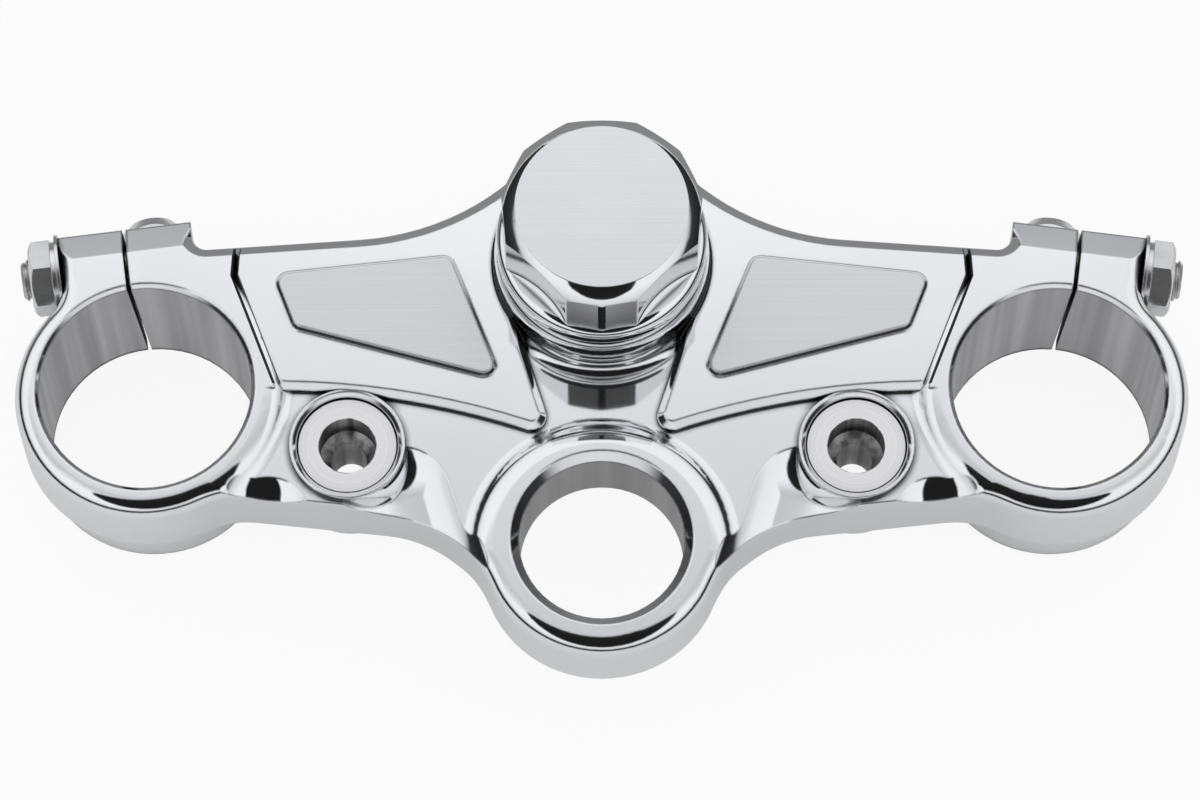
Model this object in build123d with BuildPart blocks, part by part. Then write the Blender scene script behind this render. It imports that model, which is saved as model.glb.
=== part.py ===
import os
from math import atan, copysign, cos, radians, sin, sqrt, tan

from build123d import *

os.makedirs("parts", exist_ok=True)

# Layout. The stem axis is the origin, +Y is the rider's side, z = 0 is the underside of the arms.
fork_spacing = 215.0
fork_offset = 31.5
front_reach = 69.0
bar_spacing = 119.5
bar_lead = 14.0

# Clamp body
body_height = 24.0
land_rise = 3.0
edge_round = 4.0
rear_bevel = 3.0
fork_bore = 50.0
fork_wall = 5.8
fork_ring_lead = 1.0
fork_length = 41.0
fork_chamfer = 1.1
fork_tail_wall = 2.9
tail_chamfer = 0.6
lower_round = 2.0
sleeve_step = 0.3
sleeve_overlap = 1.0
front_bore = 38.6
front_wall = 9.0
front_chamfer = 2.2
front_lift = 4.0
lift_margin = 2.0
lift_run = 8.0
stem_bore = 30.0
stem_web_wall = 16.0
stem_boss_radius = 25.4
stem_boss_rise = 9.0
stem_boss_round = 3.4
stem_boss_foot = 4.0

# Collars that roll down to the web in an S, each set off a little from its bore
fork_land_radius = 30.2
fork_roll = 8.0
fork_collar_out = 2.0
fork_collar_back = 1.2
front_land_radius = 25.5
front_roll = 8.5
front_collar_lead = 2.0
foot_sink = 0.2

# Arm outline, as distances from the line of the fork axes
arm_front_outer = 23.6
arm_front_inner = 35.2
arm_rear_outer = 34.8
arm_rear_inner = 42.4
fork_front_blend = 22.0
front_collar_blend = 30.0
stem_blend = 60.0

# Raised pads, as distances from the line of the fork axes, and the brushed panels on them
pad_bevel = 1.7
pad_fork_gap = 28.4
pad_lean = 21.0
pad_shoulder = 28.0
pad_shoulder_step = 2.2
pad_front_outer = 0.4
pad_front_middle = 3.4
pad_front_inner = 12.6
pad_tip = 11.1
pad_waist = 22.6
pad_waist_lead = 7.0
pad_stem_overlap = 0.8
pad_corner_round = 3.5
panel_height = 1.2
panel_slope = 40.0
panel_round = 3.2
panel_rim = 9.6
panel_rear_outer = 28.6
panel_rear_inner = 33.4
panel_front_outer = 14.2
panel_front_inner = 0.6
panel_inner_rear = 35.6
panel_inner_front = 22.6

# Split ears of the fork clamps, measured from the fork axis and turned outwards
ear_turn = 7.5
ear_outer = 17.0
ear_inner = 15.0
ear_reach = 41.7
ear_bevel = 7.5
ear_bevel_drop = 4.0
ear_outer_blend = 9.0
ear_blend_share = 0.507
slot_width = 0.9
slot_tilt = 3.0

# Pinch hardware
pinch_size = 10.0
pinch_reach = 33.8
pinch_drop = 9.0
pinch_clearance = 0.3
pinch_thread_depth = 10.0
thread_fit = 0.05
thread_spare = 1.0
stud_point = 1.0
nut_flats = 16.0
nut_height = 5.3
nut_turn = 36.0
washer_diameter = 20.0
washer_thickness = 0.8
spot_margin = 0.6
spring_diameter = 17.0
spring_thickness = 1.2
spring_gap = 1.4
stud_stand_out = 2.1

# Rear bolts
rear_bolt_size = 8.0
rear_bolt_side = 5.5
rear_bolt_drop = 18.6
rear_bolt_flats = 16.0
rear_bolt_head = 6.2
rear_bolt_face = 5.2
rear_bolt_depth = 11.0

# Handlebar mounts
bar_rim_radius = 13.6
bar_rim_drop = 1.0
bar_foot_radius = 17.0
bar_foot_drop = 8.5
bar_flare_in = 0.25
bar_flare_down = 0.6
bar_tail = 3.0
bush_flange_radius = 11.9
bush_flange_height = 3.0
bush_seat_drop = 1.6
bush_rim_bevel = 1.1
bush_barrel_radius = 9.4
bush_fit = 0.05
bush_hole = 8.5
bush_counterbore = 13.5
bush_counterbore_depth = 8.0
bush_cone_depth = 2.0
bush_edge = 0.4

# Scoops in the front edge, on both sides of the handlebar mounts
outer_scoop_side = 18.5
outer_scoop_lead = 31.5
outer_scoop_radius = 16.0
outer_scoop_depth = 3.4
inner_scoop_side = 11.9
inner_scoop_lead = 26.7
inner_scoop_radius = 20.0
inner_scoop_depth = 4.6
inner_scoop_lean = 18.0

# Stem nut and washer
stem_washer_radius = 25.0
stem_washer_height = 7.0
stem_washer_round = 2.8
stem_nut_radius = 23.8
stem_nut_front_turn = 20.0
stem_nut_side_turn = 70.0
stem_nut_step_turn = 30.0
stem_nut_side_corners = 4
stem_nut_dome = 3.3
stem_nut_height = 18.5
stem_nut_face_radius = 20.1
stem_nut_dome_in = 0.5
stem_nut_dome_down = 0.44
stem_thread = 28.0
stem_nut_roof = 6.0
stem_clearance = 0.4
hex_chamfer = 0.5
hex_chamfer_slope = 30.0

# Places worked out from the layout
fork_x = fork_spacing / 2
fork_y = -fork_offset
front_y = -front_reach
bar_x = bar_spacing / 2
bar_y = fork_y - bar_lead
web_top = body_height - land_rise
fork_radius = fork_bore / 2 + fork_wall
front_radius = front_bore / 2 + front_wall
stem_web_radius = stem_bore / 2 + stem_web_wall
fork_bottom = body_height - fork_length
stem_boss_top = body_height + stem_boss_rise
washer_top = stem_boss_top + stem_washer_height
bar_rim_top = body_height - bar_rim_drop
bush_top = bar_rim_top - bush_seat_drop
ear_inner_blend = ear_blend_share * (ear_reach - arm_rear_outer)
rear_limit = stem_web_radius + rear_bevel
relief_top = body_height + land_rise
bush_seat = bush_top - bush_flange_height
pinch_end = slot_width / 2 + pinch_thread_depth
nut_seat = ear_outer + washer_thickness + spring_thickness
hex_run = nut_flats / 2
hex_drop = hex_run * tan(radians(hex_chamfer_slope))
sides = {"left": -1, "right": 1}
ring_y = fork_y - fork_ring_lead
fork_left = Plane((-fork_x, fork_y, 0))
fork_right = Plane((fork_x, fork_y, 0))
front_centre = Plane((0, front_y, 0))
bar_left = Plane((-bar_x, bar_y, 0))
bar_right = Plane((bar_x, bar_y, 0))


# A plane square to a fork axis whose Y runs along the clamp slot, at height z
def ear_plane(side, z):
    turn = radians(ear_turn)
    return Plane(origin=(side * fork_x, fork_y, z), x_dir=(cos(turn), -side * sin(turn), 0), z_dir=(0, 0, 1))


# A plane whose Z runs outwards along the pinch stud, starting at a distance from the slot
def pinch_plane(side, out):
    base = ear_plane(side, body_height - pinch_drop)
    middle = base.from_local_coords(Vector(side * out, pinch_reach, 0))
    return Plane(origin=middle, x_dir=base.y_dir, z_dir=base.x_dir * side)


# A plane on the rear bolt's axis whose Z runs out of the rear face of an inner ear
def rear_bolt_plane(side):
    base = ear_plane(side, body_height - rear_bolt_drop)
    middle = base.from_local_coords(Vector(-side * rear_bolt_side, ear_reach, 0))
    return Plane(origin=middle, x_dir=base.x_dir, z_dir=base.y_dir)


# A plane through the Z axis of another, for profiles that are turned about that axis
def turning_plane(base):
    return Plane(origin=base.origin, x_dir=base.x_dir, z_dir=-base.y_dir)


# The axis of such a turned profile
def turning_axis(base):
    return Axis(base.origin, base.z_dir)


# Section of a raised collar: a land that rolls down to the web over one arc and out of it over another
def collar_section(base, land_radius, roll):
    fall = land_rise + foot_sink
    half = atan(fall / roll)
    across = roll / 2 / sin(2 * half) * sin(half)
    down = fall / 2 / (1 - cos(2 * half)) * (1 - cos(half))
    land = (land_radius, body_height)
    bend = (land_radius + roll / 2, body_height - fall / 2)
    foot = (land_radius + roll, body_height - fall)
    with BuildSketch(turning_plane(base)) as section:
        with BuildLine():
            ThreePointArc(foot, (foot[0] - across, foot[1] + down), bend)
            ThreePointArc(bend, (land[0] + across, land[1] - down), land)
            Polyline(land, (land_radius, relief_top), (0, relief_top), (0, 0), (foot[0], 0), foot)
        make_face()
    return section.sketch


# Section of a handlebar mount boss: a flat rim on a flared foot
def boss_section(base):
    rim = (bar_rim_radius, bar_rim_top)
    foot = (bar_foot_radius, body_height - bar_foot_drop)
    waist = (rim[0] + (foot[0] - rim[0]) * bar_flare_in, rim[1] + (foot[1] - rim[1]) * bar_flare_down)
    with BuildSketch(turning_plane(base)) as section:
        with BuildLine():
            ThreePointArc(foot, waist, rim)
            Polyline(rim, (0, bar_rim_top), (0, 0), (foot[0], 0), foot)
        make_face()
    return section.sketch


# Section of what a cone takes off the end of a hexagon, from face_radius at the given height down by drop
def cone_section(base, face_radius, height, run, drop):
    with BuildSketch(turning_plane(base)) as section:
        Polygon((face_radius, height), (face_radius + run, height), (face_radius + run, height - drop), align=None)
    return section.sketch


# Distance from a fork axis to the pad's outer edge, at a distance behind the line of the fork axes
def pad_edge(back):
    return (pad_fork_gap - back * sin(radians(pad_lean))) / cos(radians(pad_lean))


# Plan outline of the whole body
with BuildSketch() as outline:
    Polygon((-fork_x, fork_y - arm_front_outer), (0, fork_y - arm_front_inner), (fork_x, fork_y - arm_front_outer),
            (fork_x, fork_y + arm_rear_outer), (0, fork_y + arm_rear_inner), (-fork_x, fork_y + arm_rear_outer),
            align=None)
    with Locations((-fork_x, ring_y), (fork_x, ring_y)):
        Circle(fork_radius)
    with Locations((0, front_y)):
        Circle(front_radius)
    Circle(stem_web_radius)
    for side in sides.values():
        place = ear_plane(side, 0)
        ear = [(ear_outer, 0), (ear_outer, ear_reach), (-ear_inner, ear_reach), (-ear_inner, 0)]
        Polygon(*[place.from_local_coords(Vector(side * x, y, 0)) for x, y in ear], align=None)
    for side in sides.values():
        place = ear_plane(side, 0)
        outer_root = place.from_local_coords(Vector(side * ear_outer, fork_bore / 2, 0))
        inner_root = place.from_local_coords(Vector(-side * ear_inner, arm_rear_outer, 0))
        front_root = Vector(side * (fork_x - sqrt(fork_radius**2 - arm_front_outer**2)), fork_y - arm_front_outer, 0)
        collar_root = Vector(side * front_radius, fork_y - arm_front_inner, 0)
        stem_root = Vector(side * stem_web_radius, fork_y + arm_rear_inner, 0)
        blends = [(outer_root, ear_outer_blend), (inner_root, ear_inner_blend), (front_root, fork_front_blend),
                  (collar_root, front_collar_blend), (stem_root, stem_blend)]
        for point, radius in blends:
            fillet(outline.vertices().sort_by_distance(point)[0], radius)

# Outer envelope of the body: a bevel along the rear of the arms, the other upper edges rounded but for the ears
with BuildPart() as envelope:
    add(outline.sketch)
    extrude(amount=body_height)
    rear_edges = []
    round_edges = []
    for edge in envelope.faces().sort_by(Axis.Z)[-1].edges():
        middle = edge @ 0.5
        side = copysign(1, middle.X)
        turned = ear_plane(side, body_height).to_local_coords(middle)
        if turned.Y < fork_bore / 2:
            round_edges.append(edge)
        elif -side * turned.X > ear_inner / 2:
            rear_edges.append(edge)
    fillet(round_edges, edge_round)
    chamfer(rear_edges, rear_bevel)
    chamfer(envelope.faces().sort_by(Axis.Z)[0].edges(), lower_round)

# Raised pads of both arms, joined behind the stem, with a bevel round their upper edge
with BuildPart() as pads:
    with BuildSketch(Plane.XY.offset(web_top - pad_bevel)) as pad_plan:
        for side in sides.values():
            front_corner = (side * (fork_x - pad_edge(-pad_front_outer)), fork_y - pad_front_outer)
            shoulder = (side * (fork_x - pad_edge(pad_shoulder)), fork_y + pad_shoulder)
            rear_corner = (shoulder[0] - side * pad_shoulder_step, rear_limit)
            tip = (side * pad_tip, fork_y - pad_front_inner)
            front_middle = ((front_corner[0] + tip[0]) / 2, fork_y - pad_front_middle)
            with BuildLine():
                ThreePointArc(front_corner, front_middle, tip)
                Polyline(tip, (side * pad_waist, -pad_waist_lead), (0, 0), (0, rear_limit), rear_corner, shoulder,
                         front_corner)
            make_face()
            for corner in (front_corner, tip, shoulder):
                fillet(pad_plan.vertices().sort_by_distance(Vector(*corner, web_top - pad_bevel))[0], pad_corner_round)
        Circle(stem_boss_radius - pad_stem_overlap, mode=Mode.SUBTRACT)
    extrude(amount=land_rise + pad_bevel)
    chamfer(pads.faces().sort_by(Axis.Z)[-1].edges(), pad_bevel)
    extrude(pads.faces().sort_by(Axis.Z)[-1], amount=land_rise)

# Brushed panel on each pad, raised on sloping walls
with BuildPart() as panels:
    with BuildSketch(Plane.XY.offset(body_height)) as panel_plan:
        for side in sides.values():
            outer_rear = (side * (fork_x - pad_edge(panel_rear_outer) - panel_rim), fork_y + panel_rear_outer)
            outer_front = (side * (fork_x - pad_edge(panel_front_outer) - panel_rim), fork_y + panel_front_outer)
            inner_front = (side * panel_inner_front, fork_y + panel_front_inner)
            inner_rear = (side * panel_inner_rear, fork_y + panel_rear_inner)
            corners = [outer_rear, outer_front, inner_front, inner_rear]
            Polygon(*corners[::-side], align=None)
        fillet(panel_plan.vertices(), panel_round)
    extrude(amount=panel_height, taper=panel_slope)

# Everything above the web that isn't collar, pad, ear or boss
with BuildPart() as relief:
    with BuildSketch(Plane.XY.offset(web_top)):
        Rectangle(fork_spacing + 4 * fork_radius, 4 * front_reach)
    extrude(amount=relief_top - web_top)
    for side in sides.values():
        base = Plane((side * (fork_x + fork_collar_out), fork_y + fork_collar_back, 0))
        revolve(collar_section(base, fork_land_radius, fork_roll), axis=turning_axis(base), mode=Mode.SUBTRACT)
    base = Plane((0, front_y - front_collar_lead, 0))
    revolve(collar_section(base, front_land_radius, front_roll), axis=turning_axis(base), mode=Mode.SUBTRACT)
    for base in (bar_left, bar_right):
        revolve(boss_section(base), axis=turning_axis(base), mode=Mode.SUBTRACT)
    add(pads.part, mode=Mode.SUBTRACT)
    for side in sides.values():
        place = ear_plane(side, 0)
        ear = [(-ear_inner, 2 * ear_reach), (2 * ear_outer, 2 * ear_reach), (2 * ear_outer, 0)]
        ear_top = [place.from_local_coords(Vector(side * x, y, 0)) for x, y in ear]
        front_corner = (side * (fork_x - pad_edge(-pad_front_outer)), fork_y - pad_front_outer)
        shoulder = (side * (fork_x - pad_edge(pad_shoulder)), fork_y + pad_shoulder)
        rear_corner = (shoulder[0] - side * pad_shoulder_step, rear_limit)
        with BuildSketch(Plane.XY):
            Polygon((side * fork_x, fork_y), front_corner, shoulder, rear_corner, *ear_top, align=None)
        extrude(amount=relief_top, mode=Mode.SUBTRACT)

# Scoops in the front edge, which leave the handlebar mount bosses standing
with BuildPart() as scoops:
    for side in sides.values():
        outer_height = web_top + outer_scoop_radius - outer_scoop_depth
        with Locations((side * (bar_x + outer_scoop_side), fork_y - outer_scoop_lead, outer_height)):
            Sphere(outer_scoop_radius)
        lean = radians(inner_scoop_lean)
        inner_height = web_top + inner_scoop_radius - inner_scoop_depth
        start = Vector(side * (bar_x - inner_scoop_side), fork_y - inner_scoop_lead, inner_height)
        course = Vector(-side * sin(lean), -cos(lean), 0)
        with Locations(start):
            Sphere(inner_scoop_radius)
        with BuildSketch(Plane(origin=start, z_dir=course)):
            Circle(inner_scoop_radius)
        extrude(amount=front_reach / 2)
    for base in (bar_left, bar_right):
        revolve(boss_section(base), axis=turning_axis(base), mode=Mode.SUBTRACT)

# The clamp body: one forging with its collars, arms, ears and bosses
with BuildPart() as clamp_body:
    add(envelope.part)
    add(relief.part, mode=Mode.SUBTRACT)
    add(scoops.part, mode=Mode.SUBTRACT)
    add(panels.part)
    # The underside steps up below the front collar
    with BuildSketch(turning_plane(front_centre)):
        lift_radius = front_radius + lift_margin
        Polygon((0, front_lift), (lift_radius, front_lift), (lift_radius + lift_run, 0), (0, 0), align=None)
    revolve(axis=turning_axis(front_centre), mode=Mode.SUBTRACT)
    # Stem boss, with a hollow round its foot
    with BuildSketch(turning_plane(Plane.XY)):
        foot = (stem_boss_radius + stem_boss_foot, web_top - foot_sink)
        neck = (stem_boss_radius, foot[1] + stem_boss_foot)
        hollow = stem_boss_foot * (1 - sin(radians(45)))
        with BuildLine():
            ThreePointArc(foot, (neck[0] + hollow, foot[1] + hollow), neck)
            Polyline(neck, (neck[0], stem_boss_top), (0, stem_boss_top), (0, body_height / 2),
                     (foot[0], body_height / 2), foot)
        make_face()
    revolve(axis=Axis.Z)
    fillet(clamp_body.faces().sort_by(Axis.Z)[-1].edges(), stem_boss_round)
    # Tapered sleeves below the fork clamps
    for base in (fork_left, fork_right):
        tail_radius = fork_bore / 2 + fork_tail_wall
        root_radius = fork_radius - sleeve_step
        sleeve_top = lower_round + sleeve_overlap
        with BuildSketch(turning_plane(base)):
            Polygon((0, sleeve_top), (root_radius, sleeve_top), (tail_radius, fork_bottom + tail_chamfer),
                    (tail_radius - tail_chamfer, fork_bottom), (0, fork_bottom), align=None)
        revolve(axis=turning_axis(base))
    # Tails of the handlebar mount bosses
    for base in (bar_left, bar_right):
        with BuildSketch(turning_plane(base)):
            Polygon((0, lower_round), (bar_rim_radius, lower_round), (bar_rim_radius, tail_chamfer - bar_tail),
                    (bar_rim_radius - tail_chamfer, -bar_tail), (0, -bar_tail), align=None)
        revolve(axis=turning_axis(base))
    # Bores of the forks, the front collar and the stem
    for base in (fork_left, fork_right):
        with BuildSketch(turning_plane(base)):
            Polygon((0, body_height), (fork_bore / 2 + fork_chamfer, body_height),
                    (fork_bore / 2, body_height - fork_chamfer), (fork_bore / 2, fork_bottom), (0, fork_bottom),
                    align=None)
        revolve(axis=turning_axis(base), mode=Mode.SUBTRACT)
    with BuildSketch(turning_plane(front_centre)):
        Polygon((0, body_height), (front_bore / 2 + front_chamfer, body_height),
                (front_bore / 2, body_height - front_chamfer), (front_bore / 2, 0), (0, 0), align=None)
    revolve(axis=turning_axis(front_centre), mode=Mode.SUBTRACT)
    with BuildSketch(turning_plane(Plane.XY)):
        Polygon((0, stem_boss_top), (stem_bore / 2, stem_boss_top), (stem_bore / 2, 0), (0, 0), align=None)
    revolve(axis=Axis.Z, mode=Mode.SUBTRACT)
    # Stepped seats of the handlebar mount bushes
    for base in (bar_left, bar_right):
        seat_radius = bush_flange_radius + bush_fit
        barrel_radius = bush_barrel_radius + bush_fit
        with BuildSketch(turning_plane(base)):
            Polygon((0, bar_rim_top), (seat_radius + bush_rim_bevel, bar_rim_top),
                    (seat_radius, bar_rim_top - bush_rim_bevel), (seat_radius, bush_seat), (barrel_radius, bush_seat),
                    (barrel_radius, -bar_tail), (0, -bar_tail), align=None)
        revolve(axis=turning_axis(base), mode=Mode.SUBTRACT)
    for side in sides.values():
        # Clamp slot, from the fork bore out through the rear, leaning inwards as it goes down
        place = ear_plane(side, 0)
        lean = radians(slot_tilt)
        with BuildSketch(Plane(origin=place.origin, x_dir=place.y_dir,
                               z_dir=place.x_dir * side * sin(lean) + place.z_dir * cos(lean))):
            with Locations((ear_reach, 0)):
                Rectangle(2 * ear_reach, slot_width)
        extrude(amount=fork_length, both=True, mode=Mode.SUBTRACT)
        # Bevel on the rear of both ears
        place = ear_plane(side, body_height)
        with BuildSketch(Plane(origin=place.origin, x_dir=place.y_dir, z_dir=place.x_dir)):
            Polygon((ear_reach - ear_bevel, 0), (ear_reach, -ear_bevel_drop), (2 * ear_reach, -ear_bevel_drop),
                    (2 * ear_reach, ear_bevel_drop), (ear_reach - ear_bevel, ear_bevel_drop), align=None)
        extrude(amount=ear_outer + ear_inner, both=True, mode=Mode.SUBTRACT)
        # Pinch hole, clear through the outer ear and tapped in the inner one
        with BuildSketch(pinch_plane(side, 0)):
            Circle(pinch_size / 2 + pinch_clearance)
        extrude(amount=2 * ear_outer, mode=Mode.SUBTRACT)
        with BuildSketch(pinch_plane(side, 0)):
            Circle(pinch_size / 2 + thread_fit)
        extrude(amount=-pinch_end - thread_spare, mode=Mode.SUBTRACT)
        # Spot face for the washers and nut
        with BuildSketch(pinch_plane(side, ear_outer)):
            Circle(washer_diameter / 2 + spot_margin)
        extrude(amount=ear_outer, mode=Mode.SUBTRACT)
        # Tapped hole of the rear bolt
        with BuildSketch(rear_bolt_plane(side)):
            Circle(rear_bolt_size / 2 + thread_fit)
        extrude(amount=-rear_bolt_depth - thread_spare, mode=Mode.SUBTRACT)

clamp_body.part.label = "clamp_body"
export_step(clamp_body.part, "parts/clamp_body.step")

# Plain washer on the stem boss
with BuildPart() as stem_washer:
    with BuildSketch(Plane.XY.offset(stem_boss_top)):
        Circle(stem_washer_radius)
        Circle(stem_bore / 2 + stem_clearance, mode=Mode.SUBTRACT)
    extrude(amount=stem_washer_height)
    rims = stem_washer.edges().filter_by(GeomType.CIRCLE).sort_by(SortBy.RADIUS)[-2:]
    fillet(rims, stem_washer_round)

stem_washer.part.label = "stem_washer"
export_step(stem_washer.part, "parts/stem_washer.step")

# Stem nut with a corner to the front between two narrow flats, and a dome that ends in a flat face
with BuildPart() as stem_nut:
    with BuildSketch(Plane.XY.offset(washer_top)):
        side_turns = [stem_nut_side_turn + step * stem_nut_step_turn for step in range(stem_nut_side_corners)]
        half = [stem_nut_front_turn, *side_turns]
        turns = [radians(turn) for turn in [0, *half, *[-turn for turn in half[::-1]]]]
        Polygon(*[(stem_nut_radius * sin(turn), -stem_nut_radius * cos(turn)) for turn in turns], align=None)
    extrude(amount=stem_nut_height)
    nut_top = washer_top + stem_nut_height
    dome_run = stem_nut_radius - stem_nut_face_radius
    face_edge = (stem_nut_face_radius, nut_top)
    shoulder = (face_edge[0] + dome_run * stem_nut_dome_in, nut_top - stem_nut_dome * stem_nut_dome_down)
    dome_foot = (stem_nut_radius, nut_top - stem_nut_dome)
    with BuildSketch(turning_plane(Plane.XY)):
        with BuildLine():
            ThreePointArc(face_edge, shoulder, dome_foot)
            Polyline(dome_foot, (2 * stem_nut_radius, dome_foot[1]), (2 * stem_nut_radius, nut_top), face_edge)
        make_face()
    revolve(axis=Axis.Z, mode=Mode.SUBTRACT)
    with BuildSketch(Plane.XY.offset(washer_top)):
        Circle(stem_thread / 2)
    extrude(amount=stem_nut_height - stem_nut_roof, mode=Mode.SUBTRACT)

stem_nut.part.label = "stem_nut"
export_step(stem_nut.part, "parts/stem_nut.step")

for name, base in (("left", bar_left), ("right", bar_right)):
    # Flanged bush of a handlebar mount, counterbored for the bolt head
    with BuildPart() as bar_mount_bush:
        cone_top = bush_top - bush_counterbore_depth
        with BuildSketch(turning_plane(base)):
            Polygon((bush_counterbore / 2, bush_top), (bush_flange_radius - bush_edge, bush_top),
                    (bush_flange_radius, bush_top - bush_edge), (bush_flange_radius, bush_seat),
                    (bush_barrel_radius, bush_seat), (bush_barrel_radius, -bar_tail), (bush_hole / 2, -bar_tail),
                    (bush_hole / 2, cone_top - bush_cone_depth), (bush_counterbore / 2, cone_top), align=None)
        revolve(axis=turning_axis(base))

    bar_mount_bush.part.label = "bar_mount_bush_" + name
    export_step(bar_mount_bush.part, "parts/bar_mount_bush_" + name + ".step")

for name, side in sides.items():
    # Pinch stud, screwed into the inner ear
    with BuildPart() as pinch_stud:
        with BuildSketch(pinch_plane(side, -pinch_end)):
            Circle(pinch_size / 2)
        extrude(amount=pinch_end + nut_seat + nut_height + stud_stand_out)
        chamfer(pinch_stud.edges().filter_by(GeomType.CIRCLE), stud_point)

    pinch_stud.part.label = "pinch_stud_" + name
    export_step(pinch_stud.part, "parts/pinch_stud_" + name + ".step")

    with BuildPart() as pinch_washer:
        with BuildSketch(pinch_plane(side, ear_outer)):
            Circle(washer_diameter / 2)
            Circle(pinch_size / 2 + pinch_clearance, mode=Mode.SUBTRACT)
        extrude(amount=washer_thickness)

    pinch_washer.part.label = "pinch_washer_" + name
    export_step(pinch_washer.part, "parts/pinch_washer_" + name + ".step")

    # Spring washer, split at one side
    with BuildPart() as pinch_spring_washer:
        with BuildSketch(pinch_plane(side, ear_outer + washer_thickness)):
            Circle(spring_diameter / 2)
            Circle(pinch_size / 2 + pinch_clearance, mode=Mode.SUBTRACT)
            with Locations((spring_diameter / 2, 0)):
                Rectangle(spring_diameter, spring_gap, mode=Mode.SUBTRACT)
        extrude(amount=spring_thickness)

    pinch_spring_washer.part.label = "pinch_spring_washer_" + name
    export_step(pinch_spring_washer.part, "parts/pinch_spring_washer_" + name + ".step")

    with BuildPart() as pinch_nut:
        base = pinch_plane(side, nut_seat)
        with BuildSketch(base):
            RegularPolygon(nut_flats / 2, 6, major_radius=False, rotation=side * nut_turn)
            Circle(pinch_size / 2 + thread_fit, mode=Mode.SUBTRACT)
        extrude(amount=nut_height)
        cone = cone_section(base, nut_flats / 2 - hex_chamfer, nut_height, hex_run, hex_drop)
        revolve(cone, axis=turning_axis(base), mode=Mode.SUBTRACT)

    pinch_nut.part.label = "pinch_nut_" + name
    export_step(pinch_nut.part, "parts/pinch_nut_" + name + ".step")

    with BuildPart() as rear_bolt:
        base = rear_bolt_plane(side)
        with BuildSketch(base):
            RegularPolygon(rear_bolt_flats / 2, 6, major_radius=False)
        extrude(amount=rear_bolt_head)
        cone = cone_section(base, rear_bolt_face, rear_bolt_head, rear_bolt_flats / 2, rear_bolt_flats / 2)
        revolve(cone, axis=turning_axis(base), mode=Mode.SUBTRACT)
        with BuildSketch(base):
            Circle(rear_bolt_size / 2)
        extrude(amount=-rear_bolt_depth)

    rear_bolt.part.label = "rear_bolt_" + name
    export_step(rear_bolt.part, "parts/rear_bolt_" + name + ".step")
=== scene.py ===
import math

import bpy
import numpy as np
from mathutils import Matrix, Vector


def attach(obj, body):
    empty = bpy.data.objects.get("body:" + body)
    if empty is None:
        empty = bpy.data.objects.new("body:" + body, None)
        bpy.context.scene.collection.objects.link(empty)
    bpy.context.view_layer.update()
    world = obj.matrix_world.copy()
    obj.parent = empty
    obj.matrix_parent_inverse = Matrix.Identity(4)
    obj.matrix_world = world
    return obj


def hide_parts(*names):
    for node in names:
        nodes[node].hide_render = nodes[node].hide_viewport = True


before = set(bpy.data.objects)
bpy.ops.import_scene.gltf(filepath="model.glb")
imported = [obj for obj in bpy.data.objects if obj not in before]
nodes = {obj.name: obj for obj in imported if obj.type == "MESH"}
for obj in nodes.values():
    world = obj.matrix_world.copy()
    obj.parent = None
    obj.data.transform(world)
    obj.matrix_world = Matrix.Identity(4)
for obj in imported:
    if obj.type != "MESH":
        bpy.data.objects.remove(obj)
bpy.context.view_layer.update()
print("loaded", len(nodes), "CAD nodes")

mm = 0.001  # lengths below are in millimetres, scales of noise over object coordinates are per metre
perMetre = 1000.0
reliefDepth = 0.1
edgeSamples = 6
airSamples = 8


# one socket of a node tree; sums and products of sockets add Math nodes
class Wire:
    def __init__(self, tree, socket):
        self.tree = tree
        self.socket = socket

    # any node: its type, its settings (set first), its socket values or links, and which output to hand on
    def add(self, kind, settings=None, sockets=None, output=0):
        node = self.tree.nodes.new(kind)
        for name, value in (settings or {}).items():
            if name == "stops":
                ramp = node.color_ramp
                while len(ramp.elements) < len(value):
                    ramp.elements.new(1.0)
                for element, (place, colour) in zip(ramp.elements, value):
                    element.position = place
                    element.color = colour
            else:
                setattr(node, name, value)
        for name, value in (sockets or {}).items():
            if isinstance(value, Wire):
                self.tree.links.new(value.socket, node.inputs[name])
            else:
                node.inputs[name].default_value = value
        return Wire(self.tree, node.outputs[output])

    def maths(self, operation, first, second=0.0):
        return self.add("ShaderNodeMath", {"operation": operation}, {0: first, 1: second})

    def __add__(self, other):
        return self.maths("ADD", self, other)

    def __radd__(self, other):
        return self.maths("ADD", other, self)

    def __sub__(self, other):
        return self.maths("SUBTRACT", self, other)

    def __rsub__(self, other):
        return self.maths("SUBTRACT", other, self)

    def __mul__(self, other):
        return self.maths("MULTIPLY", self, other)

    def __rmul__(self, other):
        return self.maths("MULTIPLY", other, self)

    def __gt__(self, other):
        return self.maths("GREATER_THAN", self, other)

    def __lt__(self, other):
        return self.maths("LESS_THAN", self, other)

    # 0 below low, 1 above high, a straight run between
    def ramp(self, low, high):
        return self.add("ShaderNodeMapRange", {"clamp": True}, {0: self, 1: low, 2: high, 3: 0.0, 4: 1.0})


# an empty material, its principled shader and a first wire to build on
def newFinish(name):
    material = bpy.data.materials.new(name)
    material.use_nodes = True
    tree = material.node_tree
    shader = tree.nodes["Principled BSDF"]
    start = Wire(tree, tree.nodes["Material Output"].inputs[0])
    return material, tree, shader, start


# the three numbers of a vector
def splitParts(start, vector):
    split = start.add("ShaderNodeSeparateXYZ", sockets={0: vector}).socket.node
    return [Wire(start.tree, split.outputs[i]) for i in range(3)]


def objectPlace(start):
    return start.add("ShaderNodeTexCoord", output="Object")


# a place in millimetres, as three numbers
def inMillimetres(start, place):
    return [part * perMetre for part in splitParts(start, place)]


# distance from an upright axis
def reachFrom(start, across, along):
    return start.maths("SQRT", across * across + along * along)


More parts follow.
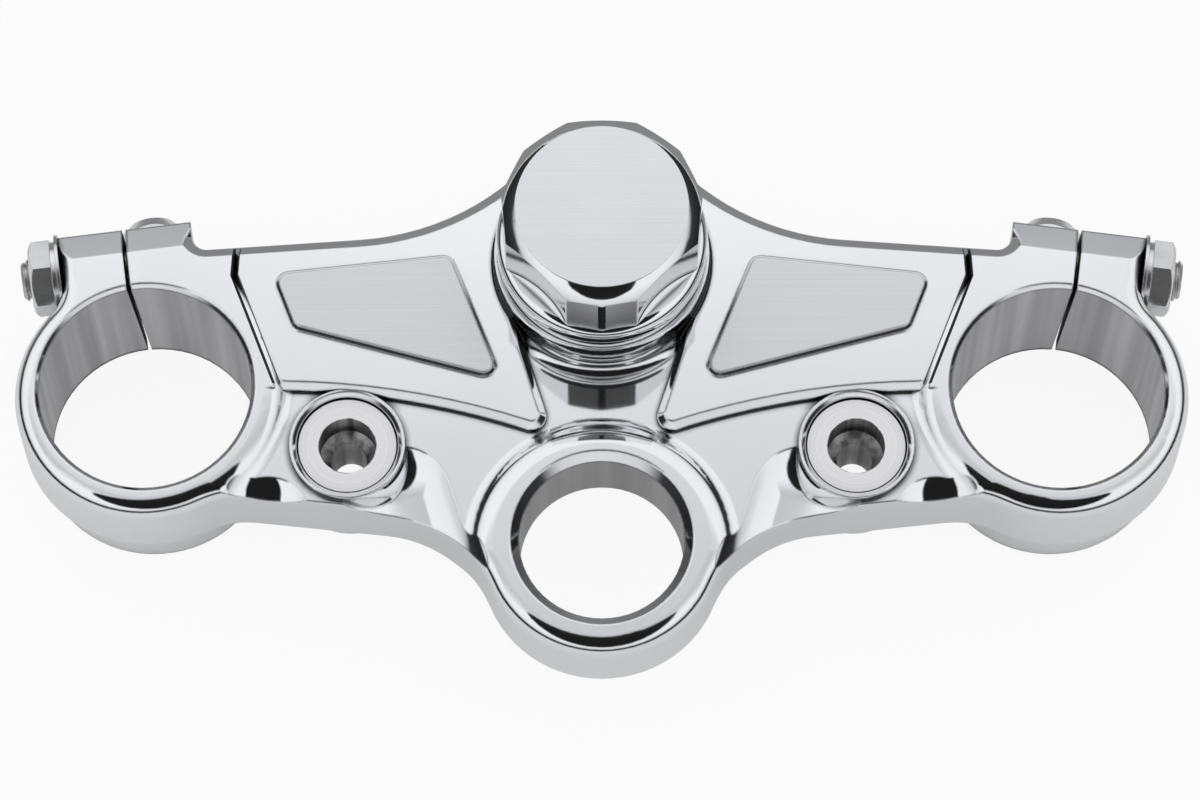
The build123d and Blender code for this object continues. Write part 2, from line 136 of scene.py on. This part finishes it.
def mixColour(start, share, first, second, blend="MIX"):
    settings = {"data_type": "RGBA", "blend_type": blend}
    return start.add("ShaderNodeMix", settings, {0: share, 6: first, 7: second}, 2)


# a colour times a ramp of tones over a value
def tonedColour(start, colour, stops, value):
    tones = start.add("ShaderNodeValToRGB", {"stops": stops}, {0: value})
    return mixColour(start, 1.0, colour, tones, "MULTIPLY")


# even noise, and noise drawn out by a scale for each axis
def cloudOver(start, place, scale, detail):
    return start.add("ShaderNodeTexNoise", sockets={"Vector": place, "Scale": scale, "Detail": detail})


def drawnNoise(start, place, stretch, detail, fineness=0.5):
    drawn = start.add("ShaderNodeMapping", sockets={"Vector": place, "Scale": stretch})
    sockets = {"Vector": drawn, "Scale": 1.0, "Detail": detail, "Roughness": fineness}
    return start.add("ShaderNodeTexNoise", sockets=sockets)


# painted shade: a tone that darkens in tight inner corners, by ambient occlusion
def paintedCreviceShade(start, tone, look):
    reach = look["creviceReach"] * mm
    air = start.add("ShaderNodeAmbientOcclusion", {"samples": airSamples}, {"Distance": reach}, "AO")
    share = (1.0 - air.ramp(look["creviceFull"], look["creviceNone"])) * look["creviceDepth"]
    return mixColour(start, share, tone, look["paintedShadeColour"])


# edges rounded in the shading, and a fine relief over them
def softEdge(start, look):
    return start.add("ShaderNodeBevel", {"samples": edgeSamples}, {"Radius": look["edge"] * mm})


def fineRelief(start, look, height):
    sockets = {"Strength": look["relief"], "Distance": reliefDepth * mm, "Height": height}
    return start.add("ShaderNodeBump", sockets={**sockets, "Normal": softEdge(start, look)})


def connect(tree, wire, shader, socket):
    tree.links.new(wire.socket, shader.inputs[socket])


def dress(names, material):
    for name in names:
        piece = nodes[name]
        if not piece.material_slots:
            piece.data.materials.append(material)
        for slot in piece.material_slots:
            slot.link = "OBJECT"
            slot.material = material


# Chrome of the body: mirror plating, brushed panels on the arms, honed bores
bodyLook = {
    "chrome": (0.86, 0.87, 0.885, 1.0),
    "chromeDim": (0.82, 0.83, 0.85, 1.0),
    "chromeRough": 0.05,
    "cloudScale": 26.0,
    "cloudDetail": 3.0,
    "cloudRun": (0.3, 0.7),
    "cloudRough": 0.02,
    "panelTop": 24.9,
    "stemClear": 27.0,
    "panelColour": (0.735, 0.742, 0.76, 1.0),
    "panelTones": [(0.25, (0.93, 0.93, 0.93, 1)), (0.75, (1.05, 1.05, 1.05, 1))],
    "panelGrain": (14.0, 2400.0, 1.0),
    "grainDetail": 4.0,
    "grainFineness": 0.7,
    "panelRough": 0.30,
    "grainRough": 0.1,
    "honedColour": (0.74, 0.74, 0.75, 1.0),
    "honedTones": [(0.3, (0.76, 0.76, 0.77, 1)), (0.7, (1.2, 1.2, 1.2, 1))],
    "honedStreak": (190.0, 190.0, 5.0),
    "streakDetail": 3.0,
    "honedRough": 0.34,
    "streakRough": 0.08,
    "streakHeight": 0.6,
    "forkX": 107.5,
    "forkY": -31.5,
    "forkBore": 25.15,
    "frontY": -69.0,
    "frontBore": 19.45,
    "frontBoreShade": 0.45,
    "slotTurn": 7.5,
    "slotTilt": 3.0,
    "slotHalf": 0.52,
    "slotStart": 15.0,
    "recessShadeColour": (0.10, 0.10, 0.10, 1.0),
    "slotRough": 0.5,
    "padGap": 28.4,
    "padLean": 21.0,
    "padShoulder": 28.0,
    "padStep": 0.0587,
    "grooveFront": 0.8,
    "grooveFoot": 21.5,
    "grooveTop": 24.2,
    "grooveStart": -0.2,
    "grooveEnd": 0.5,
    "padLineStart": 1.4,
    "padLineEnd": 1.72,
    "padLineShare": 0.8,
    "creviceReach": 2.6,
    "creviceFull": 0.55,
    "creviceNone": 0.86,
    "creviceDepth": 0.92,
    "paintedShadeColour": (0.03, 0.03, 0.032, 1.0),
    "relief": 0.08,
    "edge": 0.8,
}


def makeBodyChrome():
    look = bodyLook
    material, tree, shader, start = newFinish("body_chrome")
    place = objectPlace(start)
    x, y, z = inMillimetres(start, place)
    across = start.maths("ABSOLUTE", x)
    outwards = across - look["forkX"]
    back = y - look["forkY"]

    # bores by the distance from their axes, panels by their height
    frontHoned = reachFrom(start, x, y - look["frontY"]) < look["frontBore"]
    honed = start.maths("MAXIMUM", reachFrom(start, outwards, back) < look["forkBore"], frontHoned)
    panel = (z > look["panelTop"]) * (reachFrom(start, x, y) > look["stemClear"])

    # walls of the clamp slots, which turn outwards to the rear and lean: rough as sawn, and painted dark as
    # shade
    turn = math.radians(look["slotTurn"])
    aside = outwards * math.cos(turn) - back * math.sin(turn)
    behind = outwards * math.sin(turn) + back * math.cos(turn)
    fromSlot = start.maths("ABSOLUTE", aside - z * math.tan(math.radians(look["slotTilt"])))
    shadedSawnWalls = (fromSlot < look["slotHalf"]) * (behind > look["slotStart"])

    # painted shade and painted reflection: dark lines along the groove between each pad and its ear, also
    # where the surface is flat, by the distance inside the pad's outline
    lean = math.radians(look["padLean"])
    inwards = look["forkX"] - across
    frontRun = inwards * math.cos(lean) + back * math.sin(lean) - look["padGap"]
    shoulder = (look["padGap"] - look["padShoulder"] * math.sin(lean)) / math.cos(lean)
    rearRun = inwards - shoulder - (back - look["padShoulder"]) * look["padStep"]
    fromPad = start.maths("MINIMUM", frontRun, rearRun)
    paintedGrooveLines = (fromPad > look["grooveStart"]) * (fromPad < look["grooveEnd"])
    padLine = (fromPad > look["padLineStart"]) * (fromPad < look["padLineEnd"])
    paintedGrooveLines = paintedGrooveLines + padLine * look["padLineShare"]
    paintedGrooveLines = paintedGrooveLines * (back > look["grooveFront"]) * (z > look["grooveFoot"]) * (z < look["grooveTop"])

    # plating: a slow cloud; panels: long grain along X; bores: streaks down the wall
    cloud = cloudOver(start, place, look["cloudScale"], look["cloudDetail"])
    plate = mixColour(start, cloud.ramp(*look["cloudRun"]), look["chrome"], look["chromeDim"])
    grain = drawnNoise(start, place, look["panelGrain"], look["grainDetail"], look["grainFineness"])
    brushed = tonedColour(start, look["panelColour"], look["panelTones"], grain)
    streak = drawnNoise(start, place, look["honedStreak"], look["streakDetail"])
    honedTone = tonedColour(start, look["honedColour"], look["honedTones"], streak)

    tone = mixColour(start, panel, plate, brushed)
    tone = mixColour(start, honed, tone, honedTone)
    # painted shade: the slot walls are darkened
    tone = mixColour(start, shadedSawnWalls, tone, look["recessShadeColour"])
    # painted shade: the front bore is darkened towards the same dark tone
    tone = mixColour(start, frontHoned * look["frontBoreShade"], tone, look["recessShadeColour"])
    # painted shade and painted reflection: the dark lines along the pad grooves
    tone = mixColour(start, paintedGrooveLines, tone, look["paintedShadeColour"])
    rough = look["chromeRough"] + cloud * look["cloudRough"]
    rough = rough + panel * (look["panelRough"] - rough + grain * look["grainRough"])
    rough = rough + honed * (look["honedRough"] - rough + streak * look["streakRough"])
    rough = rough + shadedSawnWalls * (look["slotRough"] - rough)
    height = panel * grain + honed * streak * look["streakHeight"] - paintedGrooveLines
    # painted shade in the inner corners over the tone
    connect(tree, paintedCreviceShade(start, tone, look), shader, "Base Color")
    connect(tree, rough, shader, "Roughness")
    connect(tree, fineRelief(start, look, height), shader, "Normal")
    shader.inputs["Metallic"].default_value = 1.0
    dress(["clamp_body"], material)


makeBodyChrome()
print("body dressed")


# Chrome of the stem nut and its washer, with the brushed face and the satin front flats of the nut; the
# flats also get a lighter tone, a painted highlight
nutLook = {
    "chrome": (0.86, 0.87, 0.885, 1.0),
    "rough": 0.05,
    "cloudScale": 60.0,
    "cloudDetail": 2.0,
    "cloudRough": 0.02,
    "satin": (0.77, 0.785, 0.81, 1.0),
    "satinTones": [(0.3, (0.95, 0.95, 0.95, 1)), (0.7, (1.04, 1.04, 1.04, 1))],
    "satinGrain": (20.0, 2200.0, 900.0),
    "grainDetail": 3.0,
    "grainShare": 0.7,
    "satinRough": 0.22,
    "grainRough": 0.08,
    "faceTop": 58.3,
    "faceRadius": 20.15,
    "flatLitTone": (0.97, 0.97, 0.975, 1.0),
    "flatRough": 0.32,
    "flatFront": -22.0,
    "flatFoot": 40.3,
    "flatTop": 55.6,
    "cornerHalf": 0.9,
    "creviceReach": 2.0,
    "creviceFull": 0.40,
    "creviceNone": 0.78,
    "creviceDepth": 0.9,
    "paintedShadeColour": (0.03, 0.03, 0.032, 1.0),
    "relief": 0.06,
    "edge": 0.35,
}


def makeNutChrome():
    look = nutLook
    material, tree, shader, start = newFinish("nut_chrome")
    place = objectPlace(start)
    x, y, z = inMillimetres(start, place)
    face = (z > look["faceTop"]) * (reachFrom(start, x, y) < look["faceRadius"])
    # the two front flats: satin, and painted lighter as a painted highlight; the corner between the two
    # flats keeps its mirror
    flats = (y < look["flatFront"]) * (z > look["flatFoot"]) * (z < look["flatTop"])
    flats = flats * (start.maths("ABSOLUTE", x) > look["cornerHalf"])

    grain = drawnNoise(start, place, look["satinGrain"], look["grainDetail"])
    cloud = cloudOver(start, place, look["cloudScale"], look["cloudDetail"])
    mixed = cloud * (1.0 - look["grainShare"]) + grain * look["grainShare"]
    satin = tonedColour(start, look["satin"], look["satinTones"], mixed)
    tone = mixColour(start, face, look["chrome"], satin)
    # painted highlight: a lighter tone on the two front flats
    tone = mixColour(start, flats, tone, look["flatLitTone"])
    rough = look["rough"] + cloud * look["cloudRough"]
    rough = rough + face * (look["satinRough"] - rough + grain * look["grainRough"])
    rough = rough + flats * (look["flatRough"] - rough)
    # painted shade in the inner corners over the tone
    connect(tree, paintedCreviceShade(start, tone, look), shader, "Base Color")
    connect(tree, rough, shader, "Roughness")
    connect(tree, fineRelief(start, look, face * grain), shader, "Normal")
    shader.inputs["Metallic"].default_value = 1.0
    dress(["stem_nut", "stem_washer"], material)


makeNutChrome()
print("stem nut dressed")


# Turned steel bushes of the handlebar mounts
bushLook = {
    "steel": (0.90, 0.90, 0.905, 1.0),
    "steelTones": [(0.3, (0.9, 0.9, 0.905, 1)), (0.7, (1.06, 1.06, 1.06, 1))],
    "rough": 0.26,
    "unevenRough": 0.1,
    "barX": 59.75,
    "barY": -45.5,
    "pitch": 0.32,
    "waveHeight": 0.3,
    "ringStretch": 0.9,
    "ringScale": 2.2,
    "ringDetail": 3.0,
    "wellRadius": 6.95,
    "wellTone": (0.30, 0.30, 0.305, 1.0),
    "wellStreak": (420.0, 420.0, 12.0),
    "wellDetail": 2.0,
    "wellRun": (0.38, 0.62),
    "creviceReach": 9.0,
    "creviceFull": 0.25,
    "creviceNone": 0.95,
    "creviceDepth": 0.85,
    "paintedShadeColour": (0.03, 0.03, 0.032, 1.0),
    "relief": 0.12,
    "edge": 0.2,
}


def makeBushSteel():
    look = bushLook
    material, tree, shader, start = newFinish("bush_steel")
    place = objectPlace(start)
    x, y, z = inMillimetres(start, place)
    reach = reachFrom(start, start.maths("ABSOLUTE", x) - look["barX"], y - look["barY"])
    # turning marks: a fine wave over the distance from the axis, uneven from groove to groove
    wave = start.maths("SINE", reach * (2.0 * math.pi / look["pitch"]))
    ringPlace = start.add("ShaderNodeCombineXYZ", sockets={0: reach * look["ringStretch"]})
    uneven = cloudOver(start, ringPlace, look["ringScale"], look["ringDetail"])
    tone = tonedColour(start, look["steel"], look["steelTones"], uneven)
    # the drilled well: streaks down its wall, light and dark
    wellStreak = drawnNoise(start, place, look["wellStreak"], look["wellDetail"])
    well = (reach < look["wellRadius"]) * wellStreak.ramp(*look["wellRun"])
    tone = mixColour(start, well, tone, look["wellTone"])
    height = wave * look["waveHeight"] + uneven
    # painted shade in the inner corners over the tone
    connect(tree, paintedCreviceShade(start, tone, look), shader, "Base Color")
    connect(tree, look["rough"] + uneven * look["unevenRough"], shader, "Roughness")
    connect(tree, fineRelief(start, look, height), shader, "Normal")
    shader.inputs["Metallic"].default_value = 1.0
    dress(["bar_mount_bush_left", "bar_mount_bush_right"], material)


makeBushSteel()
print("bushes dressed")


# Bright plated nuts, washers and bolts
hardwareLook = {
    "names": ("pinch_nut", "pinch_washer", "pinch_spring", "rear_bolt"),
    "plate": (0.80, 0.805, 0.815, 1.0),
    "plateDim": (0.70, 0.705, 0.72, 1.0),
    "cloudScale": 180.0,
    "cloudDetail": 4.0,
    "cloudRun": (0.35, 0.7),
    "rough": 0.24,
    "cloudRough": 0.06,
    "edge": 0.25,
}


def makeHardwareChrome():
    look = hardwareLook
    material, tree, shader, start = newFinish("hardware_chrome")
    cloud = cloudOver(start, objectPlace(start), look["cloudScale"], look["cloudDetail"])
    tone = mixColour(start, cloud.ramp(*look["cloudRun"]), look["plate"], look["plateDim"])
    connect(tree, tone, shader, "Base Color")
    connect(tree, look["rough"] + cloud * look["cloudRough"], shader, "Roughness")
    connect(tree, softEdge(start, look), shader, "Normal")
    shader.inputs["Metallic"].default_value = 1.0
    dress([name for name in nodes if name.startswith(look["names"])], material)


makeHardwareChrome()
print("hardware dressed")


# Threaded pinch studs
studLook = {
    "steel": (0.58, 0.575, 0.565, 1.0),
    "steelDark": (0.30, 0.30, 0.30, 1.0),
    "cloudScale": 420.0,
    "cloudDetail": 4.0,
    "cloudRun": (0.4, 0.75),
    "rough": 0.24,
    "cloudRough": 0.15,
    "pitch": 1.5,
    "depth": 0.72,
    "crestFlat": 0.18,
    "rootFlat": 0.25,
    "point": 1.0,
    "around": 72,
    "rowsPerPitch": 12,
    "clear": 0.02,
}


def makeStudSteel():
    look = studLook
    material, tree, shader, start = newFinish("stud_steel")
    cloud = cloudOver(start, objectPlace(start), look["cloudScale"], look["cloudDetail"])
    tone = mixColour(start, cloud.ramp(*look["cloudRun"]), look["steel"], look["steelDark"])
    connect(tree, tone, shader, "Base Color")
    connect(tree, look["rough"] + cloud * look["cloudRough"], shader, "Roughness")
    shader.inputs["Metallic"].default_value = 1.0
    return material


# where a turned node lies: its middle, its axis as a unit vector, half its length and its radius
def turnedNode(name):
    data = nodes[name].data
    points = np.zeros(len(data.vertices) * 3, np.float32)
    data.vertices.foreach_get("co", points)
    points = np.unique(points.reshape(-1, 3).astype(float).round(7), axis=0)
    centre = (points.max(0) + points.min(0)) / 2
    axis = np.linalg.svd(points - points.mean(0), full_matrices=False)[2][0]
    along = (points - centre) @ axis
    middle = centre + axis * (along.max() + along.min()) / 2
    half = (along.max() - along.min()) / 2
    away = (points - middle) - np.outer((points - middle) @ axis, axis)
    return middle, axis, half, np.linalg.norm(away, axis=1).max()


# thread: radius = crest - depth * tooth(turns along the axis - turns around it), cut by a cone at both ends
def threadedStud(name, material):
    look = studLook
    middle, axis, half, radius = turnedNode(name)
    crest = radius - look["clear"] * mm
    length = 2 * half - 2 * look["clear"] * mm
    pitch = look["pitch"] * mm
    around = look["around"]
    rows = int(length / pitch * look["rowsPerPitch"])
    along = np.linspace(0.0, length, rows)[:, None]
    turn = np.linspace(0.0, 2 * math.pi, around, endpoint=False)[None, :]
    phase = np.mod(along / pitch - turn / (2 * math.pi), 1.0)
    tooth = np.abs(2 * phase - 1)
    tooth = np.clip((tooth - look["crestFlat"]) / (1 - look["crestFlat"] - look["rootFlat"]), 0, 1)
    reach = crest - look["depth"] * mm * tooth
    cone = crest - look["point"] * mm + np.minimum(along, length - along)
    reach = np.minimum(reach, cone)
    side = np.cross(axis, (0.0, 0.0, 1.0))
    side /= np.linalg.norm(side)
    rise = np.cross(axis, side)
    start = middle - axis * length / 2
    spot = (start + along[..., None] * axis + (reach * np.cos(turn))[..., None] * side
            + (reach * np.sin(turn))[..., None] * rise)
    ends = np.stack([start, start + axis * length])
    points = np.concatenate([spot.reshape(-1, 3), ends])
    here = np.arange(rows * around).reshape(rows, around)
    nextOne = np.roll(here, -1, axis=1)
    walls = np.stack([here[:-1], nextOne[:-1], nextOne[1:], here[1:]], -1).reshape(-1, 4)
    near = np.stack([nextOne[0], here[0], np.full(around, rows * around)], -1)
    far = np.stack([here[-1], nextOne[-1], np.full(around, rows * around + 1)], -1)
    mesh = bpy.data.meshes.new(name + "_thread")
    mesh.from_pydata(points.tolist(), [], walls.tolist() + near.tolist() + far.tolist())
    mesh.polygons.foreach_set("use_smooth", np.ones(len(mesh.polygons), bool))
    mesh.update()
    piece = bpy.data.objects.new(name + "_thread", mesh)
    bpy.context.scene.collection.objects.link(piece)
    mesh.materials.append(material)
    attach(piece, "root")
    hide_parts(name)


studSteel = makeStudSteel()
for end in ("left", "right"):
    threadedStud("pinch_stud_" + end, studSteel)
print("studs threaded")


# Floor, and the studio as the metal sees it: white above, dark at the horizon
stageLook = {
    "floorZ": -17.05,
    "floorHalf": 2000.0,
    "floorColour": (0.80, 0.80, 0.80, 1.0),
    "floorRough": 0.9,
    "paper": (1.0, 1.0, 1.0, 1.0),
    "shadowShare": 0.09,
    "glossyPaper": 0.15,
    "ambient": (0.85, 0.85, 0.85, 1.0),
    "sky": [(0.0, (0.02, 0.02, 0.021, 1)), (0.19, (0.04, 0.04, 0.042, 1)), (0.27, (0.72, 0.72, 0.73, 1)),
            (0.45, (0.95, 0.95, 0.95, 1)), (0.75, (1.0, 1.0, 1.0, 1))],
    "rearSpan": 0.8,
    "rearLighter": 0.05,
    "sideDarker": 0.10,
}


# a flat mesh from its corners in millimetres
def flatPiece(name, corners):
    mesh = bpy.data.meshes.new(name)
    scaled = [tuple(value * mm for value in corner) for corner in corners]
    mesh.from_pydata(scaled, [], [tuple(range(len(corners)))])
    piece = bpy.data.objects.new(name, mesh)
    bpy.context.scene.collection.objects.link(piece)
    return piece


def setSurface(tree, wire):
    tree.links.new(wire.socket, tree.nodes["Material Output"].inputs[0])


# which rays come from the camera, and which from a mirror
def rayKinds(start):
    camera = start.add("ShaderNodeLightPath", output="Is Camera Ray")
    return camera, Wire(start.tree, camera.socket.node.outputs["Is Glossy Ray"])


def makeFloor():
    look = stageLook
    half, level = look["floorHalf"], look["floorZ"]
    corners = [(-half, -half, level), (half, -half, level), (half, half, level), (-half, half, level)]
    floor = flatPiece("floor", corners)
    material, tree, shader, start = newFinish("floor_paper")
    shader.inputs["Base Color"].default_value = look["floorColour"]
    shader.inputs["Roughness"].default_value = look["floorRough"]
    shader.inputs["Specular IOR Level"].default_value = 0.0
    camera, glossy = rayKinds(start)
    paper = start.add("ShaderNodeEmission", sockets={"Color": look["paper"], "Strength": 1.0})
    share = camera * (1.0 - look["shadowShare"]) + (1.0 - camera) * glossy * look["glossyPaper"]
    lit = Wire(tree, shader.outputs[0])
    setSurface(tree, start.add("ShaderNodeMixShader", sockets={0: share, 1: lit, 2: paper}))
    floor.data.materials.append(material)


makeFloor()
print("floor laid")


def makeWorld():
    look = stageLook
    world = bpy.data.worlds.new("studio")
    world.use_nodes = True
    tree = world.node_tree
    tree.nodes.clear()
    output = tree.nodes.new("ShaderNodeOutputWorld")
    start = Wire(tree, output.inputs[0])
    x, y, z = splitParts(start, start.add("ShaderNodeTexCoord", output="Generated"))
    height = z + y.ramp(0.0, look["rearSpan"]) * look["rearLighter"] - x * x * look["sideDarker"]
    sky = start.add("ShaderNodeValToRGB", {"stops": look["sky"]}, {0: height})
    camera, glossy = rayKinds(start)
    plain = mixColour(start, glossy, look["ambient"], sky)
    colour = mixColour(start, camera, plain, look["paper"])
    background = start.add("ShaderNodeBackground", sockets={"Color": colour, "Strength": 1.0})
    tree.links.new(background.socket, output.inputs[0])
    bpy.context.scene.world = world


makeWorld()

# Cards round the part, seen only in its reflections: a dark oval over the front, a white sheet above and
# behind it that greys towards the front, and a grey one on the floor behind
cardLook = {
    "middle": (0.0, -35.0, 24.0),
    "elevation": 57.0,
    "blueness": 1.012,
    "ovalDistance": 750.0,
    "ovalRise": 60.0,
    "ovalHalfWidth": 430.0,
    "ovalHalfHeight": 500.0,
    "ovalPoints": 72,
    "ovalTone": 0.012,
    "sheetDistance": 800.0,
    "sheetLow": 300.0,
    "sheetHigh": 1450.0,
    "sheetHalf": 800.0,
    "sheetFade": [(300.0, 0.98), (560.0, 0.70), (700.0, 0.62), (940.0, 0.70), (1230.0, 1.0)],
    "rearFrom": 55.0,
    "rearTo": 1100.0,
    "rearHalf": 1100.0,
    "rearLift": 0.5,
    "rearTone": 0.26,
}


# one card from its corners, and its colour as a function of its first wire
def makeCard(name, corners, paintOf):
    card = flatPiece(name, corners)
    material, tree, shader, start = newFinish(name)
    setSurface(tree, start.add("ShaderNodeEmission", sockets={"Color": paintOf(start), "Strength": 1.0}))
    card.data.materials.append(material)
    card.visible_camera = False
    card.visible_diffuse = False
    card.visible_shadow = False


def greyTone(tone):
    return (tone, tone, tone * cardLook["blueness"], 1.0)


def makeCards():
    look = cardLook
    tilt = math.radians(look["elevation"])
    out = Vector((0.0, -math.cos(tilt), math.sin(tilt)))
    up = Vector((0.0, math.sin(tilt), math.cos(tilt)))
    side = Vector((1.0, 0.0, 0.0))
    middle = Vector(look["middle"])

    ovalCentre = middle + out * look["ovalDistance"] + up * look["ovalRise"]
    turns = [2.0 * math.pi * i / look["ovalPoints"] for i in range(look["ovalPoints"])]
    wide, tall = side * look["ovalHalfWidth"], up * look["ovalHalfHeight"]
    oval = [ovalCentre + wide * math.cos(turn) + tall * math.sin(turn) for turn in turns]
    makeCard("dark_oval", oval, lambda start: greyTone(look["ovalTone"]))

    sheetCentre = middle + out * look["sheetDistance"]
    low = sheetCentre + up * look["sheetLow"]
    high = sheetCentre + up * look["sheetHigh"]
    half = side * look["sheetHalf"]

    # the sheet's tone follows the distance up it
    def fadeOf(start):
        x, y, z = inMillimetres(start, objectPlace(start))
        along = (y * up.y + z * up.z - sheetCentre.dot(up)).ramp(look["sheetLow"], look["sheetHigh"])
        run = look["sheetHigh"] - look["sheetLow"]
        stops = [((spot - look["sheetLow"]) / run, greyTone(tone)) for spot, tone in look["sheetFade"]]
        return start.add("ShaderNodeValToRGB", {"stops": stops}, {0: along})

    makeCard("white_sheet", [low - half, low + half, high + half, high - half], fadeOf)

    level = stageLook["floorZ"] + look["rearLift"]
    reach, near, far = look["rearHalf"], look["rearFrom"], look["rearTo"]
    rear = [(-reach, near, level), (reach, near, level), (reach, far, level), (-reach, far, level)]
    makeCard("grey_card_rear", rear, lambda start: greyTone(look["rearTone"]))


makeCards()
print("studio lit")


# Camera at the angle of the photograph
cameraLook = {
    "target": (0.0, -35.0, 24.0),
    "elevation": 69.5,
    "distance": 1360.0,
    "sensorWidth": 36.0,
    "focalPixels": 5788.0,
    "frameWidth": 1200.0,
    "shiftPixels": -1.8,
    "clip": (50.0, 20000.0),
}


def makeCamera():
    look = cameraLook
    data = bpy.data.cameras.new("camera")
    data.sensor_width = look["sensorWidth"]
    data.lens = look["sensorWidth"] * look["focalPixels"] / look["frameWidth"]
    data.shift_x = look["shiftPixels"] / look["frameWidth"]
    data.clip_start, data.clip_end = [reach * mm for reach in look["clip"]]
    camera = bpy.data.objects.new("camera", data)
    bpy.context.scene.collection.objects.link(camera)
    tilt = math.radians(look["elevation"])
    target = Vector(look["target"]) * mm
    back = Vector((0.0, -math.cos(tilt), math.sin(tilt)))
    camera.location = target + back * look["distance"] * mm
    camera.rotation_euler = back.to_track_quat("Z", "Y").to_euler()
    bpy.context.scene.camera = camera


makeCamera()
bpy.context.scene.view_settings.view_transform = "Standard"
print("camera set")
